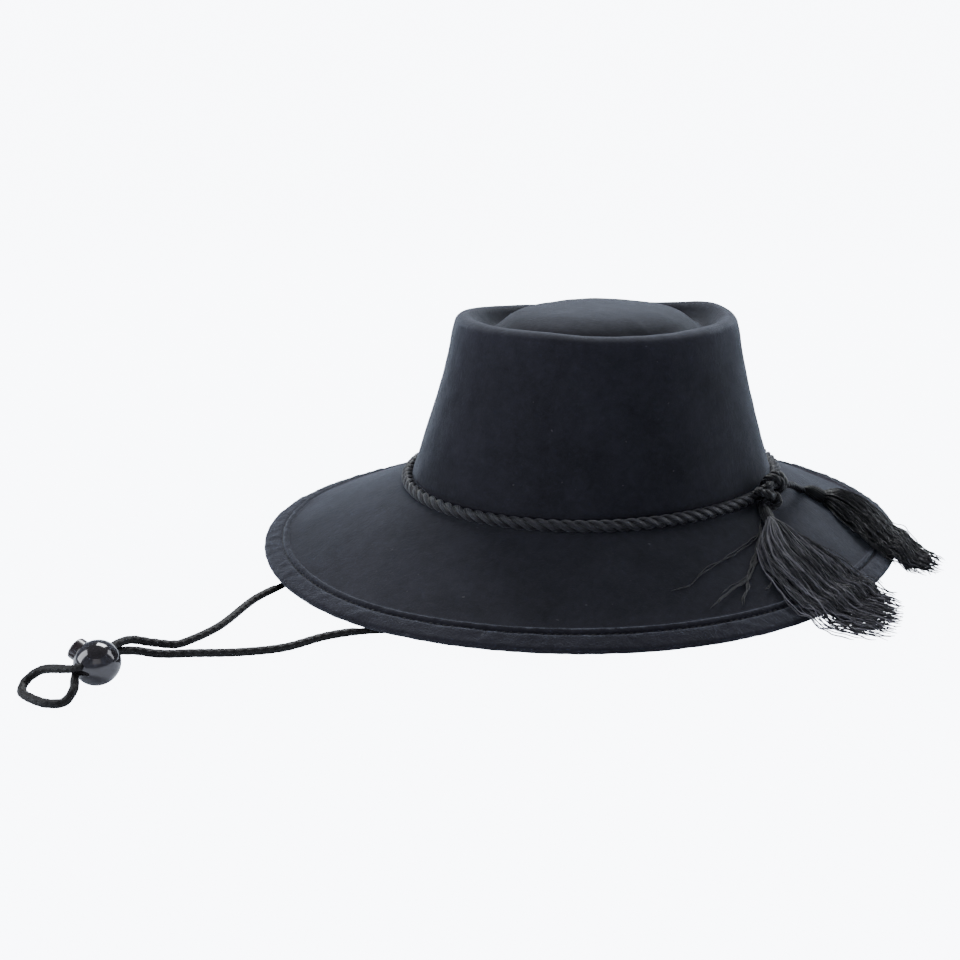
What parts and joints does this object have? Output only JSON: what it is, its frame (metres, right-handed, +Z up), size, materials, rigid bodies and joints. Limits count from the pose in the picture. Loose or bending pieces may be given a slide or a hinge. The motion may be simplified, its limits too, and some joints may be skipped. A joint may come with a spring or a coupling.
{
  "type": "huaso hat",
  "caption": "Black felt riding hat with a telescope crown, stitched brim, twisted band rope with tassels, and a chin cord with a spring toggle.",
  "frame": {"origin": "middle of the hat's box, felt, rope, knot and tassels without the chin cord, on the surface the brim rests on", "axes": "+Z up through the crown, +X to the back of the hat; the chin cord lies out in front, at -X, and the tassels hang on the -Y side"},
  "size_m": [0.4831, 0.3206, 0.1243],
  "materials": {
    "hat_felt": "matte wool felt",
    "band_rope": "twisted thread rope",
    "tassel_thread": "loose thread",
    "cord_braid": "braided cord",
    "toggle_shell": "polished",
    "toggle_button": "polished"
  },
  "bodies": {
    "hat": {"felt_crown": "hat_felt", "felt_brim": "hat_felt", "crown_rope": "band_rope", "rope_knot": "band_rope", "tassel_near": "tassel_thread", "tassel_far": "tassel_thread", "chin_cord": "cord_braid", "stopper_ball": "toggle_shell"},
    "button": {"stopper_button": "toggle_button"}
  },
  "joints": [
    {"name": "button_press", "type": "slide", "parent": "hat", "child": "button", "axis": [0.5624, -0.7199, -0.4067], "range_m": [0, 0.0035], "stiffness_N_per_m": 600, "springref_m": -0.004}
  ]
}
